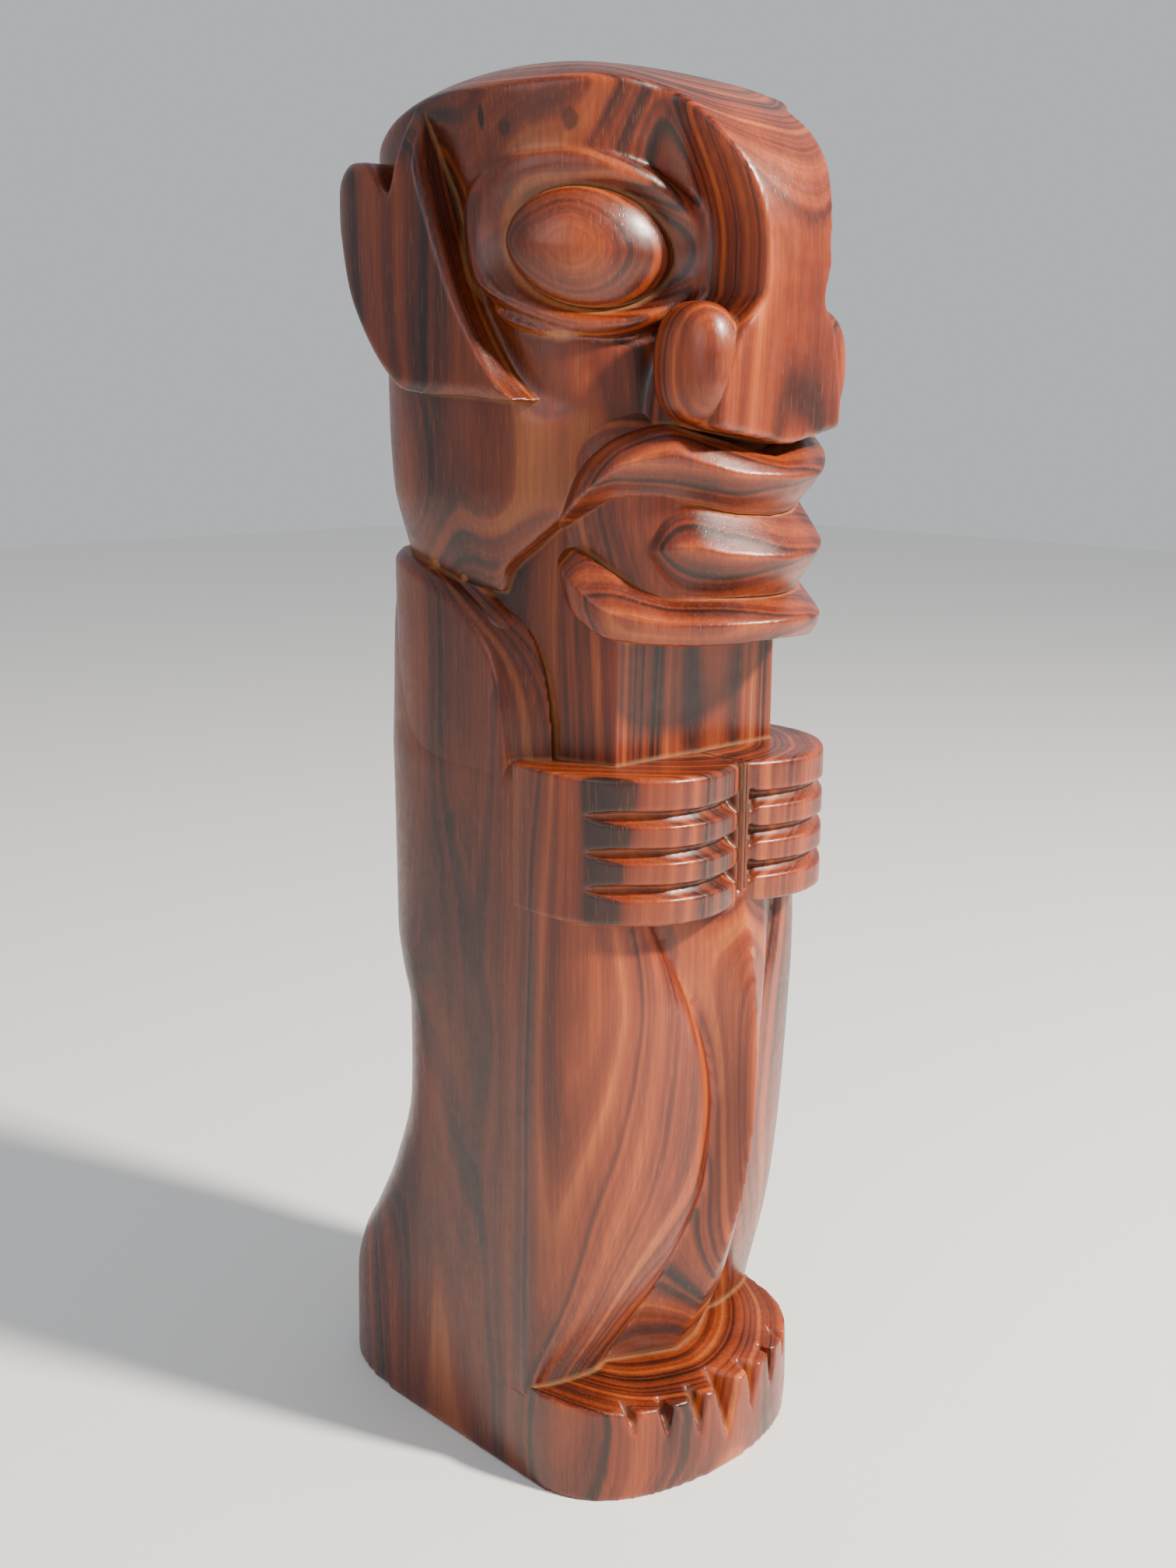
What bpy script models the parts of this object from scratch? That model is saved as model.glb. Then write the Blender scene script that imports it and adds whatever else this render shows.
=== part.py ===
# Standing tiki figure carved from a single log.
# The carved volumes are kept apart along the creases the carver cut.
# The figure faces -Y, its right side is at -X, and the base rests on z = 0.
import math

import bmesh
import bpy
from mathutils import Matrix, Vector

for item in list(bpy.data.objects):
    bpy.data.objects.remove(item, do_unlink=True)

# Driving dimensions, in metres.
height = 0.800          # ground to the top of the dome
width = 0.200           # across the flanks of the log
reach = 0.1375          # pith axis to the front of the brow
clearance = 0.00035     # between neighbouring carved volumes

eyeLength = 0.080       # along the lids
eyeBulge = 0.017        # eyeball above the face
lidTube = 0.0075        # half thickness of the lid ring
earThickness = 0.020    # ear flap above the side of the head
lipDepth = 0.018        # lip ridges above the creases between them
handHeight = 0.078      # top to bottom of the hand slab
grooveDepth = 0.0055    # finger grooves
toeNotch = 0.013        # width of a toe notch
soleHeight = 0.058      # foot platform at its front edge

# The log sections below are drawn on a figure 800 high, 200 wide and
# 155 deep at the brow, and these three sizes stretch that drawing.
unitX = width / 200
unitY = reach / 155
unitZ = height / 800


def at(x, y, z):
    """Drawing units to metres; the front bows back towards the flanks."""
    bow = 0.1116 * (math.hypot(x, 15) - 15)
    return Vector((x * unitX, (y + bow) * unitY, z * unitZ))


figure = bpy.data.collections.new("tiki figure")
tools = bpy.data.collections.new("carving cutters")
bpy.context.scene.collection.children.link(figure)
bpy.context.scene.collection.children.link(tools)
tools.hide_render = True


def wood(name, colour, rough):
    material = bpy.data.materials.new(name)
    material.use_nodes = True
    shader = material.node_tree.nodes["Principled BSDF"]
    shader.inputs["Base Color"].default_value = (*colour, 1.0)
    shader.inputs["Metallic"].default_value = 0.0
    shader.inputs["Roughness"].default_value = rough
    return material


def addMesh(name, points, faces, cutter=False):
    mesh = bpy.data.meshes.new(name)
    mesh.from_pydata([tuple(p) for p in points], [], faces)
    work = bmesh.new()
    work.from_mesh(mesh)
    bmesh.ops.remove_doubles(work, verts=work.verts, dist=0.00001)
    bmesh.ops.triangulate(work, faces=work.faces)
    bmesh.ops.recalc_face_normals(work, faces=work.faces)
    work.to_mesh(mesh)
    work.free()
    mesh.validate()
    thing = bpy.data.objects.new(name, mesh)
    if cutter:
        tools.objects.link(thing)
        thing.display_type = "WIRE"
        thing.hide_render = True
    else:
        figure.objects.link(thing)
    return thing


def loft(name, rings, closed=False, cutter=False):
    """Skin a run of equal rings, capped at the ends unless it closes."""
    points = [p for ring in rings for p in ring]
    count = len(rings[0])
    faces = []
    spans = len(rings) if closed else len(rings) - 1
    for i in range(spans):
        low = i * count
        high = ((i + 1) % len(rings)) * count
        for j in range(count):
            k = (j + 1) % count
            faces.append((low + j, low + k, high + k, high + j))
    if not closed:
        faces.append(tuple(range(count - 1, -1, -1)))
        faces.append(tuple(range(len(points) - count, len(points))))
    return addMesh(name, points, faces, cutter)


def section(z, half, front, back, middle, power, count, backPower=None):
    """Closed log section: superellipse with its own front and back depth."""
    ring = []
    for i in range(count):
        turn = 2 * math.pi * i / count
        c = math.cos(turn)
        s = math.sin(turn)
        bend = (backPower or power) if s > 0 else power
        x = half * math.copysign(abs(c) ** (2 / bend), c)
        deep = (back - middle) if s > 0 else (middle - front)
        y = middle + deep * math.copysign(abs(s) ** (2 / bend), s)
        ring.append(at(x, y, z))
    return ring


def flankX(y, half, front, back, middle, power):
    """Half width of such a section at one depth."""
    deep = (back - middle) if y > middle else (middle - front)
    ratio = min(abs(y - middle) / deep, 1)
    return half * (1 - ratio ** power) ** (1 / power)


def rim(turn, half, deep):
    """Point of an ellipse at a polar angle from the front, in degrees."""
    a = math.radians(turn)
    s = math.sin(a)
    c = math.cos(a)
    r = 1 / math.sqrt((s / half) ** 2 + (c / deep) ** 2)
    return r * s, -r * c


def mirrored(thing, name):
    """Left-hand twin of a right-hand volume, with its seat."""
    flip = Matrix.Scale(-1, 4, (1, 0, 0))
    twins = []
    for source, label, home in [
            (thing, name, figure), (seats[thing.name], name + " seat", tools)]:
        mesh = source.data.copy()
        mesh.transform(flip)
        mesh.flip_normals()
        twin = bpy.data.objects.new(label, mesh)
        home.objects.link(twin)
        twins.append(twin)
    twins[1].display_type = "WIRE"
    twins[1].hide_render = True
    seats[name] = twins[1]
    return twins[0]


def biggestPiece(thing):
    """Drop the slivers a cut leaves behind."""
    work = bmesh.new()
    work.from_mesh(thing.data)
    seen = set()
    groups = []
    for start in work.faces:
        if start in seen:
            continue
        group = []
        stack = [start]
        seen.add(start)
        while stack:
            face = stack.pop()
            group.append(face)
            for edge in face.edges:
                for other in edge.link_faces:
                    if other not in seen:
                        seen.add(other)
                        stack.append(other)
        size = 0.0
        for face in group:
            loop = [v.co for v in face.verts]
            for b, c in zip(loop[1:], loop[2:]):
                size += loop[0].dot(b.cross(c)) / 6
        groups.append((abs(size), group))
    groups.sort(key=lambda entry: entry[0], reverse=True)
    spare = [face for size, group in groups[1:] for face in group]
    if spare:
        bmesh.ops.delete(work, geom=spare, context="FACES")
    work.to_mesh(thing.data)
    work.free()


def swollen(thing, distance):
    """Copy of a volume with every face moved outward by a distance."""
    work = bmesh.new()
    work.from_mesh(thing.data)
    work.normal_update()
    moves = []
    for vert in work.verts:
        factor = min(vert.calc_shell_factor(), 3.0)
        moves.append((vert, vert.normal * distance * factor))
    for vert, move in moves:
        vert.co += move
    mesh = bpy.data.meshes.new(thing.name + " seat")
    work.to_mesh(mesh)
    work.free()
    copy = bpy.data.objects.new(thing.name + " seat", mesh)
    tools.objects.link(copy)
    copy.display_type = "WIRE"
    copy.hide_render = True
    return copy


# Seats are taken from each volume as it is first shaped, before its
# own neighbours are cut out of it.
seats = {}


def carve(name, rings, closed=False):
    thing = loft(name, rings, closed)
    seats[name] = swollen(thing, clearance)
    return thing


def cut(host, tool, keepTool=False):
    change = host.modifiers.new("cut", "BOOLEAN")
    change.operation = "DIFFERENCE"
    change.solver = "EXACT"
    change.object = tool
    bpy.context.view_layer.update()
    graph = bpy.context.evaluated_depsgraph_get()
    result = bpy.data.meshes.new_from_object(host.evaluated_get(graph))
    host.modifiers.remove(change)
    host.data = result
    if not keepTool:
        bpy.data.objects.remove(tool, do_unlink=True)
    biggestPiece(host)


# Eyes. The face is a hollow cut to a round of faceRadius about the pith.
faceRadius = 99
eyeHalf = eyeLength / 2 / unitX
eyeTall = eyeLength / 2 * 0.70 / unitZ
# the inner corner stays beside the nose ridge and the lower lid on the nostril
eyeTurn = -math.degrees((34.3 + eyeHalf) / faceRadius)
eyeHeight = 669 + eyeTall
bulge = eyeBulge / unitY


def onFace(along, up, out):
    """Place a point by its run along the face, height and rise."""
    turn = eyeTurn - math.degrees(along / faceRadius)
    tilt = along * 0.10
    x, y = rim(turn, faceRadius + out, faceRadius + out)
    return at(x, y, eyeHeight + up + tilt)


def eyeball(name):
    rings = []
    steps = 7
    for i in range(steps + 1):
        rise = math.pi / 2 * i / steps
        spread = math.cos(rise) if i < steps else 0.06
        out = bulge * math.sin(rise)
        ring = []
        for j in range(22):
            a = 2 * math.pi * j / 22
            along = eyeHalf * spread * math.cos(a)
            up = eyeTall * spread * math.sin(a)
            ring.append(onFace(along, up, out))
        rings.append(ring)
    root = []
    for j in range(22):
        a = 2 * math.pi * j / 22
        root.append(onFace(eyeHalf * 0.94 * math.cos(a), eyeTall * 0.94 * math.sin(a), -6))
    return carve(name, [root] + rings)


def eyeRim(name):
    """Lid ring: a soft band that stands round the eyeball."""
    tube = lidTube / unitY
    rings = []
    for j in range(28):
        a = 2 * math.pi * j / 28
        ring = []
        for k in range(7):
            b = 2 * math.pi * k / 7
            grow = 1.0 + (tube * 1.15 + tube * math.cos(b)) / eyeHalf
            along = eyeHalf * grow * math.cos(a) + 3
            up = (eyeTall * grow + 1.5) * math.sin(a)
            ring.append(onFace(along, up, tube * 0.55 + tube * math.sin(b)))
        rings.append(ring)
    return carve(name, rings, closed=True)


rightEyeball = eyeball("right_eyeball")
leftEyeball = mirrored(rightEyeball, "left_eyeball")
rightRim = eyeRim("right_eye_rim")
leftRim = mirrored(rightRim, "left_eye_rim")

# Nose: a flat-fronted ridge from the brow to a V tip, with a round
# nostril on each side.
ridgeHalf = 21
noseOutline = [
    (-ridgeHalf, 735), (-ridgeHalf, 668), (-42, 640), (-47, 609),
    (0, 600), (47, 609), (42, 640), (ridgeHalf, 668), (ridgeHalf, 735),
    (ridgeHalf - 2, 752), (-ridgeHalf + 2, 752),
]


def noseRidge(name):
    layers = [(-88, 0), (-138, 0), (-150, 2.0), (-153.6, 7.0)]
    rings = []
    for y, inset in layers:
        ring = []
        for x, z in noseOutline:
            shrink = max(abs(x) - inset, 0) / max(abs(x), 1)
            lift = inset * 0.8 if z < 650 else 0
            ring.append(at(x * shrink, y, z + lift))
        rings.append(ring)
    return carve(name, rings)


def nostril(name):
    """Upright bean beside the flat of the nose."""
    work = bmesh.new()
    bmesh.ops.create_uvsphere(work, u_segments=18, v_segments=10, radius=1)
    for vert in work.verts:
        x, y, z = vert.co
        fuller = 1 + 0.06 * (1 - z * z)
        vert.co = at(
            -41 + 17 * x * fuller, -118 + 28 * y * fuller, 641 + 30 * z)
    mesh = bpy.data.meshes.new(name)
    work.to_mesh(mesh)
    work.free()
    thing = bpy.data.objects.new(name, mesh)
    figure.objects.link(thing)
    seats[name] = swollen(thing, clearance)
    return thing


nose = noseRidge("nose_ridge")
rightNostril = nostril("right_nostril")
leftNostril = mirrored(rightNostril, "left_nostril")

# Lips: three stacked bands that wrap the muzzle, ridge and crease in turn.
lipTurns = [-50, -44, -36, -29, -22, -14, -6, 0, 6, 14, 22, 29, 36, 44, 50]
deepCrease = 155 - lipDepth / unitY


def blend(turn, stops):
    """Straight-line reading between (angle, value) stops."""
    a = abs(turn)
    for (a0, v0), (a1, v1) in zip(stops, stops[1:]):
        if a <= a1:
            return v0 + (v1 - v0) * (a - a0) / (a1 - a0)
    return stops[-1][1]


def lipBand(name, top, ridge, low, lowReach, topReach):
    """Band with an upper edge, a ridge and a lower edge by angle."""
    rings = []
    gapZ = clearance * 0.7 / unitZ
    for turn in lipTurns:
        close = blend(turn, [(0, 1.0), (30, 1.0), (44, 0.9), (52, 0.72)])
        upper = blend(turn, top) - gapZ
        crest = blend(turn, ridge)
        lower = blend(turn, low) + gapZ
        ring = []
        for half, deep, z in [
            (64, 112, upper),
            (topReach * 0.66, topReach, upper),
            (96, 151, crest + (upper - crest) * 0.34),
            (100, 155, crest),
            (97, 152, crest + (lower - crest) * 0.40),
            (lowReach * 0.66, lowReach, lower),
            (64, 112, lower),
        ]:
            x, y = rim(turn, half * close, deep * close)
            ring.append(at(x, y, z))
        rings.append(ring)
    return carve(name, rings)


creaseUpper = [(0, 564), (14, 566), (24, 573), (36, 573), (44, 568), (52, 562)]
creaseLower = [(0, 521), (22, 522), (30, 526), (40, 540), (52, 545)]
upperLip = lipBand(
    "upper_lip",
    [(0, 596), (14, 604), (24, 610), (36, 604), (46, 589), (52, 574)],
    [(0, 585), (14, 588), (25, 594), (36, 588), (46, 574), (52, 566)],
    creaseUpper, deepCrease, 141)
mouthBand = lipBand(
    "mouth_band", creaseUpper,
    [(0, 543), (13, 545), (22, 549), (31, 546), (44, 554), (52, 552)],
    creaseLower, deepCrease, deepCrease)
lowerLip = lipBand(
    "lower_lip", creaseLower,
    [(0, 511), (22, 511), (38, 515), (52, 532)],
    [(0, 500), (22, 498), (38, 502), (52, 518)], 148, deepCrease)

# Ears: a broad flap on each side, widest at the back.
earRise = earThickness / unitX
earOutline = [
    (-49, 622), (-33, 636), (-13, 662), (-2, 680), (8, 702), (18, 726),
    (25, 748), (33, 752), (40, 742), (48, 730), (60, 741), (72, 746.5),
    (86, 747), (100, 737), (103, 722), (97, 703), (88, 681), (74, 658),
    (56, 638), (40, 627), (0, 625),
]


def ear(name):
    middleY = sum(y for y, z in earOutline) / len(earOutline)
    middleZ = sum(z for y, z in earOutline) / len(earOutline)
    rings = []
    for out, inset in [(-14, 0.0), (earRise * 0.55, 0.0), (earRise, 0.07)]:
        ring = []
        for y, z in earOutline:
            flare = 4 * max(y, 0) / 100
            lean = -10 * max(-y - 10, 0) / 40
            turnIn = 12 * (max(y - 50, 0) / 58) ** 2
            if out < 0:
                turnIn = turnIn * 3
            x = 97 + out + flare * (out > 0) + lean - turnIn
            ring.append(at(
                -x, y + (middleY - y) * inset, z + (middleZ - z) * inset))
        rings.append(ring)
    return carve(name, rings)


rightEar = ear("right_ear")
leftEar = mirrored(rightEar, "left_ear")

# Brow cap: the dome above the hollowed face.
cap = carve("brow_cap", [
    section(704, 104, -154, 129, 0, 2.25, 36, 3.4),
    section(728, 105, -149, 130, 0, 2.25, 36, 3.4),
    section(745, 106, -140, 129, 0, 2.25, 36, 3.3),
    section(761, 106, -122, 124, 0, 2.2, 36, 2.8),
    section(770, 106, -107, 117, 0, 2.2, 36, 2.5),
    section(779.5, 102, -88, 103, 0, 2.1, 36),
    section(786.5, 85, -70, 85, 0, 2.0, 36),
    section(793, 64, -47, 64, 0, 2.0, 36),
    section(797.5, 35, -25, 35, 0, 2.0, 36),
    section(800, 12, -9, 12, 0, 2.0, 36),
])
# The face is hollowed straight up through the dome beside the ridge.
scoopLevels = [
    (600, ridgeHalf, 100), (714, ridgeHalf, 100), (730, 26, 100),
    (747, 31, 100.5), (763, 37, 103), (782, 42, 106), (830, 46, 110),
]
scoopTurns = [30, 42, 54, 66, 78, 90, 102]
for side in (1, -1):
    rings = []
    for z, inner, deep in scoopLevels:
        wall = (deep ** 2 - inner ** 2) ** 0.5
        ring = [at(inner * side, -190, z), at(inner * side, -wall, z)]
        for turn in scoopTurns:
            x = deep * math.sin(math.radians(turn))
            y = -deep * math.cos(math.radians(turn))
            ring.append(at(x * side, y, z))
        ring.append(at(220 * side, 25, z))
        ring.append(at(220 * side, -190, z))
        rings.append(ring)
    cut(cap, loft("face scoop", rings, cutter=True))

# Jaw: the muzzle that carries the lips.
jaw = carve("jaw", [
    section(501, 62, -132, -20, -60, 2.6, 32),
    section(520, 68, -134, -14, -56, 2.6, 32),
    section(560, 78, -134, -8, -50, 2.5, 32),
    section(588, 80, -128, -6, -46, 2.4, 32),
    section(604, 76, -118, -6, -46, 2.2, 32),
    section(618, 70, -92, -6, -46, 2.1, 32),
])

# Head: the round block behind the face, from jaw line to brow.
head = carve("head_core", [
    section(531, 84, -56, 96, 0, 2.4, 36, 2.6),
    section(560, 93, -86, 114, 0, 2.3, 36, 2.9),
    section(600, faceRadius, -faceRadius, 124, 0, 2.05, 36, 3.3),
    section(690, faceRadius, -faceRadius, 128, 0, 2.05, 36, 3.4),
    section(745, faceRadius, -faceRadius, 126, 0, 2.05, 36, 3.3),
    section(772, 90, -92, 106, 0, 2.05, 36, 2.3),
])

# Hands: two slabs that meet over the belly, three grooves in each.
handTop = 428
handLow = handTop - handHeight / unitZ
palm = [
    (-3, -122), (-12, -127), (-26, -133), (-42, -136), (-58, -133.5),
    (-74, -123), (-86, -110), (-94, -94), (-97.6, -78), (-98.2, -62),
    (-98.2, -40), (-60, -34), (-3, -52),
]
palmMiddle = (-52, -80)


def hand(name):
    rings = []
    for z, inset in [(handLow, 0.05), (handLow + 4, 0.0),
                     (handTop - 3, 0.0), (handTop, 0.035)]:
        ring = []
        for x, y in palm:
            dx = (palmMiddle[0] - x) * inset if x > -99 or y < -70 else 0
            dy = (palmMiddle[1] - y) * inset if y < -60 else 0
            ring.append(at(x + min(dx, 0) if x > -4 else x + dx, y + dy, z))
        rings.append(ring)
    return carve(name, rings)


rightHand = hand("right_hand")
fingerLine = [
    (-6, -127), (-14, -129), (-26, -134), (-42, -137), (-58, -134.5),
    (-72, -125), (-82, -116),
]
fingerStep = (handTop - handLow) / 4
for level in (1, 2, 3):
    z = handLow + fingerStep * level
    rings = []
    for i, (x, y) in enumerate(fingerLine):
        deep = grooveDepth / unitY
        bite = deep * (0.15 if i == len(fingerLine) - 1 else 1.0)
        outX = (x + 40) * 0.10
        rings.append([
            at(x + outX * 0.2, y + bite + 2, z + 1.2),
            at(x - outX * 0.2, y - 8, z + 3.0),
            at(x - outX * 0.2, y - 8, z - 7.5),
            at(x, y + 1.0, z - 5.5),
        ])
    cut(rightHand, loft("finger groove", rings, cutter=True))
leftHand = mirrored(rightHand, "left_hand")

# Narrow upright strip left standing between the two hands.
strip = carve("hand_strip", [
    [at(x, y, z) for x, y in
     ((-2.3, -84), (2.3, -84), (2.3, -121), (0, -123), (-2.3, -121))]
    for z in (handLow + 3, handTop - 1)
])

# Foot platform with three toe notches a side and a wide one between.
sole = soleHeight / unitZ
platform = carve("foot_platform", [
    section(0, 97.5, -124, -22, -55, 2.9, 34, 14),
    section(sole - 4, 96.5, -123, -22, -55, 2.9, 34, 14),
    section(sole, 93, -119, -22, -55, 2.9, 34, 14),
])
notch = toeNotch / unitX


def toeCut(x, half, y, low):
    """V cutter: its edge runs from the top of the foot down the front."""
    edgeX = x * 1.06
    rings = []
    for edge, wide, edgeY, z in [
            (x, half * 1.25, y, sole + 5), (edgeX, half, -127, low)]:
        lean = -30 * abs(x) / 60
        rings.append([
            at(edge, edgeY, z),
            at(edge - wide, edgeY - 26 + lean * 0.1, z),
            at(edge + wide, edgeY - 26 + lean * 0.1, z)])
    return loft("toe notch", rings, cutter=True)


cut(platform, toeCut(0, notch * 0.8, -95, 5))
for x, y, low in [(22, -102, 22), (41.5, -96, 15), (60, -84, 20)]:
    for side in (1, -1):
        cut(platform, toeCut(x * side, notch * 0.55, y, low))

# Legs: a swelling thigh on each side of a keeled belly.
thighTop = handLow + 6
thighLevels = [
    (62, -84, -62, -36, 0.55), (90, -90, -80, -31, 0.8),
    (125, -94, -97, -28, 1.0), (160, -96, -110, -27, 1.0),
    (205, -97, -120, -21, 1.0), (250, -97, -123, -22, 1.0),
    (295, -97, -122, -31, 1.0), (335, -97, -115, -43, 0.9),
    (356, -96, -110, -50, 0.8),
]
# they end in the seat of the hands wherever the hands end
thighLevels = [
    (62 + (z - 62) * (thighTop - 62) / (356 - 62), *rest) for z, *rest in thighLevels
]


def thigh(name):
    rings = []
    for z, flank, front, crease, full in thighLevels:
        ring = []
        for i in range(13):
            t = i / 12
            a = math.pi / 2 * t
            x = crease + (flank - crease) * math.sin(a) ** 0.85
            y = -58 + (front + 58) * math.cos(a) ** (0.8 / full)
            ring.append(at(x, y, z))
        ring.append(at(flank * 0.62, -26, z))
        ring.append(at(crease * 1.0, -34, z))
        rings.append(ring)
    return carve(name, rings)


rightThigh = thigh("right_thigh")
leftThigh = mirrored(rightThigh, "left_thigh")
belly = carve("belly_keel", [
    [at(x, y, z) for x, y in (
        (0, keel), (crease, front + 3), (crease - 6, front + 18),
        (crease - 6, -38), (-crease + 6, -38),
        (-crease + 6, front + 18), (-crease, front + 3))]
    for (z, flank, front, crease, full), keel in zip(
        thighLevels, (-68, -92, -108, -124, -128, -130, -128, -123, -122))
])

# Neck: a flat-fronted post between the chin and the hands.
neck = carve("neck", [
    [at(x, y, z) for x, y in (
        (-63, -87), (63, -87), (80, -10), (86, 50), (60, 92),
        (-60, 92), (-86, 50), (-80, -10))]
    for z in (418, 532)
])

# Arms: a collar that wraps each shoulder and runs down to the hand.
armTop = [
    (-32, -50, 428, 430), (-31, -46, 455, 462), (-28, -40, 472, 482),
    (-20, -31, 489, 497), (-3, -16, 505.5, 510), (12, 2, 515, 518.5),
    (30, 24, 522, 526), (55, 50, 528.5, 532), (80, 74, 534, 538),
    (96, 88, 536, 541),
]
shoulder = (98, -80, 131, 14, 2.8)
collarRise = 1.5


def arm(name):
    rings = []
    low = handLow - 16
    for y, innerY, outer, inner in armTop:
        xo = -flankX(y, *shoulder) - collarRise
        xi = -74 + 16 * (max(y, 0) / 86) ** 2
        rings.append([
            at(xi, innerY, low), at(xo, y, low), at(xo, y, outer - 3),
            at(xo + 2.5, y * 0.98, outer), at(xi, innerY, inner),
        ])
    return carve(name, rings)


rightArm = arm("right_arm")
leftArm = mirrored(rightArm, "left_arm")

# Trunk: what is left of the log behind everything else.
trunk = carve("trunk", [
    section(0, 97.5, -50, 186, 36, 8, 32, 3.0),
    section(60, 96.5, -50, 183, 36, 8, 32, 3.0),
    section(88, 96.5, -56, 172, 30, 8, 32, 3.0),
    section(112, 96, -62, 156, 30, 7, 32, 3.0),
    section(150, 96.5, -66, 135, 20, 6, 32, 2.9),
    section(205, 96.5, -70, 117, 14, 6, 32, 2.8),
    section(265, 96.5, -72, 114, 14, 6, 32, 2.8),
    section(305, 97, -74, 128, 14, 6, 32, 2.8),
    section(360, 98, -74, 129, 14, 6, 32, 2.8),
    section(420, 98, -74, 131, 14, 6, 32, 2.8),
    section(427, 97, -60, 131, 14, 4, 32, 2.8),
    section(524, 93, -50, 130, 14, 3, 32, 2.8),
    section(538, 82, -44, 120, 14, 2.5, 32),
])


def boxesMeet(one, two):
    for axis in range(3):
        a = [v.co[axis] for v in one.data.vertices]
        b = [v.co[axis] for v in two.data.vertices]
        if max(a) < min(b) or max(b) < min(a):
            return False
    return True


# Each volume gives way to the ones named before it.
order = [
    rightEyeball, leftEyeball, rightNostril, leftNostril, nose,
    rightRim, leftRim, upperLip, mouthBand, lowerLip, rightEar, leftEar,
    rightHand, leftHand, strip, platform, jaw, head, cap, neck,
    rightArm, leftArm, rightThigh, leftThigh, belly, trunk,
]
for place, host in enumerate(order):
    for guest in order[:place]:
        if boxesMeet(host, seats[guest.name]):
            cut(host, seats[guest.name], keepTool=True)

# One wood, lighter at the front of the log and darker on its flanks.
frontTone = (0.42, 0.125, 0.038)
faceTone = (0.27, 0.072, 0.026)
flankTone = (0.19, 0.052, 0.022)
frontNodes = (
    upperLip, mouthBand, lowerLip, nose, strip, rightHand, leftHand, neck)
flankNodes = (trunk, rightEar, leftEar, rightArm, leftArm, platform)
sharpAngle = math.radians(32)
for thing in order:
    tone = faceTone
    if thing in frontNodes:
        tone = frontTone
    if thing in flankNodes:
        tone = flankTone
    thing.data.materials.clear()
    thing.data.materials.append(wood(thing.name + " wood", tone, 0.34))
    thing.data.shade_smooth()
    thing.data.set_sharp_from_angle(angle=sharpAngle)

for cutter in list(tools.objects):
    bpy.data.objects.remove(cutter, do_unlink=True)
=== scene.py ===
import math

import bpy
import numpy as np
from mathutils import Matrix, Vector
from mathutils.bvhtree import BVHTree


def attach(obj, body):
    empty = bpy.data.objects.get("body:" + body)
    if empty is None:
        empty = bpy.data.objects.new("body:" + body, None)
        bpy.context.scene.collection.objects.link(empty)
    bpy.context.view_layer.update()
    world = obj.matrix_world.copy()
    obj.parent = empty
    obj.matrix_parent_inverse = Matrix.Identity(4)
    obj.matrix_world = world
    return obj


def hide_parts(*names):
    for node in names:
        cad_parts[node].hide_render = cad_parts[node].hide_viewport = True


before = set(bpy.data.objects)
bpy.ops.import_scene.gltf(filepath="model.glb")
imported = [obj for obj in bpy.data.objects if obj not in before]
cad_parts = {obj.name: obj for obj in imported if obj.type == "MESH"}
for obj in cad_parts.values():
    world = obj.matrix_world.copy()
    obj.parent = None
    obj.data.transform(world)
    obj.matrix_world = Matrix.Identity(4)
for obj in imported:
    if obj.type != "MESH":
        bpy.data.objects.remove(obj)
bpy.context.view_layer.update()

print("tiki: packed frame loaded")
mm = 0.001

# metres and degrees; turn goes round the figure, towards its right side
camera = {
    "away": 1.0361, "high": 0.62828, "turn": 44.0, "down": 12.455, "roll": 0.4,
    "lens": 41.07, "sensor": 36.0, "farthest": 50.0,
    # the log stands a little right of the frame's middle
    "aside": 0.608,
}


def addCamera(spec):
    data = bpy.data.cameras.new("camera")
    data.lens = spec["lens"]
    data.sensor_width = spec["sensor"]
    data.clip_end = spec["farthest"]
    eye = bpy.data.objects.new("camera", data)
    bpy.context.scene.collection.objects.link(eye)
    around = math.radians(spec["turn"])
    away = spec["away"]
    place = (-away * math.sin(around), -away * math.cos(around), spec["high"])
    turn = Matrix.Rotation(-math.radians(spec["turn"] - spec["aside"]), 4, "Z")
    tilt = Matrix.Rotation(math.radians(90.0 - spec["down"]), 4, "X")
    roll = Matrix.Rotation(math.radians(spec["roll"]), 4, "Z")
    eye.matrix_world = Matrix.Translation(place) @ turn @ tilt @ roll
    bpy.context.scene.camera = eye


addCamera(camera)


# Bench tools. Shapes are drawn in millimetres and skinned over grids.
def pickOnly(thing):
    bpy.ops.object.select_all(action="DESELECT")
    thing.select_set(True)
    bpy.context.view_layer.objects.active = thing


# Smooth reading between (key, number) stops.
def read(stops, value):
    keys = np.array([s[0] for s in stops], float)
    nums = np.array([s[1] for s in stops], float)
    value = np.clip(np.asarray(value, float), keys[0], keys[-1])
    gap = np.diff(keys)
    rise = np.diff(nums) / gap
    lean = np.empty(len(keys))
    lean[0] = rise[0]
    lean[-1] = rise[-1]
    same = rise[:-1] * rise[1:] > 0
    lean[1:-1] = np.where(
        same, 2 * rise[:-1] * rise[1:] / np.where(same, rise[:-1] + rise[1:], 1), 0)
    i = np.clip(np.searchsorted(keys, value, side="right") - 1, 0, len(gap) - 1)
    t = (value - keys[i]) / gap[i]
    h = gap[i]
    return ((2 * t**3 - 3 * t**2 + 1) * nums[i] + (t**3 - 2 * t**2 + t) * h * lean[i]
            + (3 * t**2 - 2 * t**3) * nums[i + 1] + (t**3 - t**2) * h * lean[i + 1])


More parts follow.
